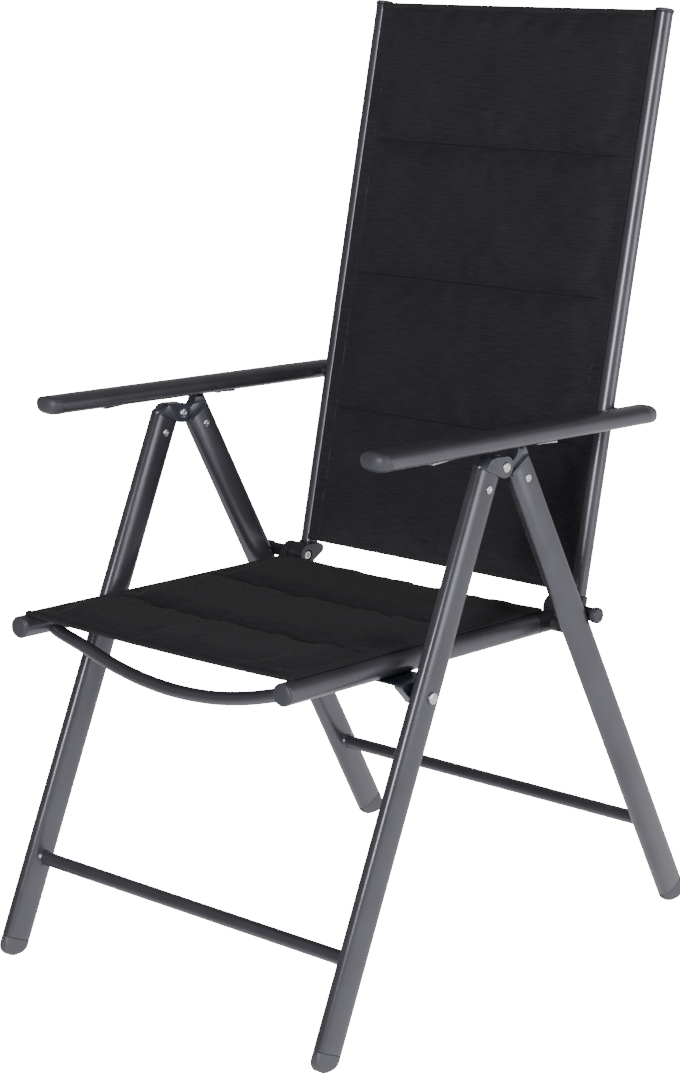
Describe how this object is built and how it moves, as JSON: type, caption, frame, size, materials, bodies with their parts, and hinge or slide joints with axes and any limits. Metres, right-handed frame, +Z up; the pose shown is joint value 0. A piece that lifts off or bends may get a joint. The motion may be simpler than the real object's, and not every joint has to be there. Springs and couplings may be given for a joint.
{
  "type": "folding armchair",
  "caption": "High-back folding garden armchair: slate grey tube frame, black padded sling seat and back, reclining through notched armrests.",
  "frame": {"origin": "centre of the bounding box at floor level", "axes": "+X to the sitter's left, +Y to the rear, +Z up; the sitter faces -Y"},
  "size_m": [0.533, 0.6956, 1.0921],
  "materials": {
    "frame_paint": "satin slate grey powder coat with a metallic sheen, on aluminium tube",
    "dark_plastic": "moulded dark grey nylon",
    "foot_plastic": "soft dark grey moulding",
    "zinc_steel": "bright zinc-plated steel",
    "sleeve_plastic": "glossy black moulding",
    "rack_steel": "bright zinc-plated pressed steel",
    "sling_fabric": "black woven mesh over a thin pad, sewn across in lines"
  },
  "bodies": {
    "front_legs": {"front_leg_left": "frame_paint", "front_leg_right": "frame_paint", "front_foot_left": "foot_plastic", "front_foot_right": "foot_plastic", "front_stretcher": "frame_paint", "front_hinge_head_left": "dark_plastic", "front_hinge_head_right": "dark_plastic", "leg_hinge_rivet_left": "zinc_steel", "leg_hinge_rivet_right": "zinc_steel", "front_plug_rivet_left": "zinc_steel", "front_plug_rivet_right": "zinc_steel", "seat_pivot_bolt_left": "zinc_steel", "seat_pivot_bolt_right": "zinc_steel"},
    "rear_legs": {"rear_leg_left": "frame_paint", "rear_leg_right": "frame_paint", "rear_foot_left": "foot_plastic", "rear_foot_right": "foot_plastic", "rear_stretcher": "frame_paint", "rear_hinge_head_left": "dark_plastic", "rear_hinge_head_right": "dark_plastic", "rear_plug_rivet_left": "zinc_steel", "rear_plug_rivet_right": "zinc_steel", "arm_notch_pin_left": "zinc_steel", "arm_notch_pin_right": "zinc_steel"},
    "seat": {"seat_rail_left": "frame_paint", "seat_rail_right": "frame_paint", "seat_rail_cap_left": "dark_plastic", "seat_rail_cap_right": "dark_plastic", "seat_rail_end_left": "dark_plastic", "seat_rail_end_right": "dark_plastic", "seat_front_bow": "frame_paint", "seat_rear_bow": "frame_paint", "seat_bracket_left": "frame_paint", "seat_bracket_right": "frame_paint", "seat_sling": "sling_fabric"},
    "back_pivots": {"back_axle_left": "zinc_steel", "back_axle_right": "zinc_steel", "axle_sleeve_left": "sleeve_plastic", "axle_sleeve_right": "sleeve_plastic"},
    "backrest": {"back_tube_left": "frame_paint", "back_tube_right": "frame_paint", "back_top_cap_left": "dark_plastic", "back_top_cap_right": "dark_plastic", "back_knuckle_left": "dark_plastic", "back_knuckle_right": "dark_plastic", "back_crossbar_lower": "frame_paint", "back_crossbar_upper": "frame_paint", "back_sling": "sling_fabric"},
    "arm_pivot_left": {"arm_pivot_bolt_left": "zinc_steel"},
    "arm_pivot_right": {"arm_pivot_bolt_right": "zinc_steel"},
    "armrest_left": {"armrest_shell_left": "frame_paint", "armrest_front_cap_left": "dark_plastic", "armrest_rear_cap_left": "dark_plastic", "notch_rack_left": "rack_steel"},
    "armrest_right": {"armrest_shell_right": "frame_paint", "armrest_front_cap_right": "dark_plastic", "armrest_rear_cap_right": "dark_plastic", "notch_rack_right": "rack_steel"}
  },
  "joints": [
    {"name": "leg_fold", "type": "hinge", "parent": "front_legs", "child": "rear_legs", "pos_m": [0, -0.03264, 0.6109], "axis": [-1, 0, 0], "range_deg": [0, 53]},
    {"name": "seat_tilt", "type": "hinge", "parent": "front_legs", "child": "seat", "pos_m": [0, -0.16044, 0.3777], "axis": [-1, 0, 0], "range_deg": [0, 106]},
    {"name": "back_fold", "type": "hinge", "parent": "seat", "child": "back_pivots", "pos_m": [0, 0.13996, 0.4073], "axis": [1, 0, 0], "range_deg": [0, 89.5]},
    {"name": "back_recline", "type": "hinge", "parent": "back_pivots", "child": "backrest", "pos_m": [0, 0.13996, 0.4073], "axis": [-1, 0, 0], "range_deg": [0, 33]},
    {"name": "arm_swing_left", "type": "hinge", "parent": "backrest", "child": "arm_pivot_left", "pos_m": [0.2465, 0.21316, 0.631], "axis": [1, 0, 0], "range_deg": [0, 20.2]},
    {"name": "arm_swing_right", "type": "hinge", "parent": "backrest", "child": "arm_pivot_right", "pos_m": [-0.2465, 0.21316, 0.631], "axis": [1, 0, 0], "range_deg": [0, 20.2]},
    {"name": "arm_fold_left", "type": "hinge", "parent": "arm_pivot_left", "child": "armrest_left", "pos_m": [0.2465, 0.21316, 0.631], "axis": [-1, 0, 0], "range_deg": [0, 102]},
    {"name": "arm_fold_right", "type": "hinge", "parent": "arm_pivot_right", "child": "armrest_right", "pos_m": [-0.2465, 0.21316, 0.631], "axis": [-1, 0, 0], "range_deg": [0, 102]}
  ],
  "couplings": [
    {"joint": "seat_tilt", "follows": "leg_fold", "ratio": 1.992},
    {"joint": "back_fold", "follows": "leg_fold", "ratio": 1.68},
    {"joint": "arm_fold_left", "follows": "leg_fold", "ratio": 1.92},
    {"joint": "arm_fold_right", "follows": "leg_fold", "ratio": 1.92},
    {"joint": "arm_swing_left", "follows": "back_recline", "ratio": 0.606},
    {"joint": "arm_swing_right", "follows": "back_recline", "ratio": 0.606}
  ]
}
